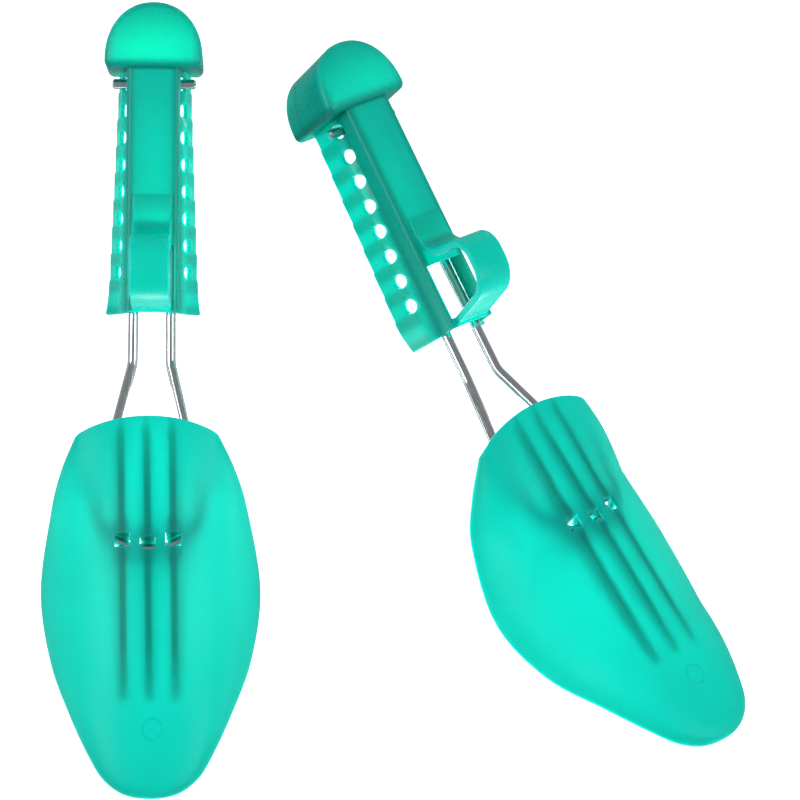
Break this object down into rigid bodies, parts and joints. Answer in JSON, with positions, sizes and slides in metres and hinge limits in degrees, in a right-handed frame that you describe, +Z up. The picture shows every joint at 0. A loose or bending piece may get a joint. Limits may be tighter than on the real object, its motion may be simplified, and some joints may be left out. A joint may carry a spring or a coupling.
{
  "type": "boot shaper",
  "caption": "Adjustable plastic boot shapers lying side by side: toe form on a bent spring wire, with a perforated channel stem, finger hook and heel knob.",
  "frame": {"origin": "centre of the bounding box on the ground", "axes": "+Y towards the heel knobs, along the flat-lying shaper; +Z up; +X towards the rolled shaper"},
  "size_m": [0.2068, 0.2366, 0.0482],
  "materials": {
    "a_toe_plastic": "frosted translucent turquoise plastic",
    "a_steel": "bright spring steel wire",
    "a_stem_plastic": "glossy turquoise plastic, slightly translucent",
    "b_toe_plastic": "frosted translucent turquoise plastic",
    "b_steel": "bright spring steel wire",
    "b_stem_plastic": "glossy turquoise plastic, slightly translucent"
  },
  "bodies": {
    "spring_wires": {"a_spring_wire": "a_steel", "b_spring_wire": "b_steel"},
    "a_toe": {"a_toe_form": "a_toe_plastic"},
    "a_stem_body": {"a_stem": "a_stem_plastic"},
    "b_toe": {"b_toe_form": "b_toe_plastic"},
    "b_stem_body": {"b_stem": "b_stem_plastic"}
  },
  "joints": [
    {"name": "a_toe_rock", "type": "hinge", "parent": "spring_wires", "child": "a_toe", "pos_m": [-0.07088, -0.04345, 0.02066], "axis": [1, -0.008, 0], "range_deg": [-4, 15]},
    {"name": "a_stem_slide", "type": "slide", "parent": "spring_wires", "child": "a_stem_body", "axis": [0.008, 0.9915, 0.1301], "range_m": [0, 0.0561], "deforming": ["a_spring_wire"]},
    {"name": "b_toe_rock", "type": "hinge", "parent": "spring_wires", "child": "b_toe", "pos_m": [0.0586, -0.03807, 0.03441], "axis": [0.7692, 0.3614, -0.5269], "range_deg": [-4, 15]},
    {"name": "b_stem_slide", "type": "slide", "parent": "spring_wires", "child": "b_stem_body", "axis": [-0.4031, 0.9143, 0.0387], "range_m": [0, 0.0561], "deforming": ["b_spring_wire"]}
  ]
}
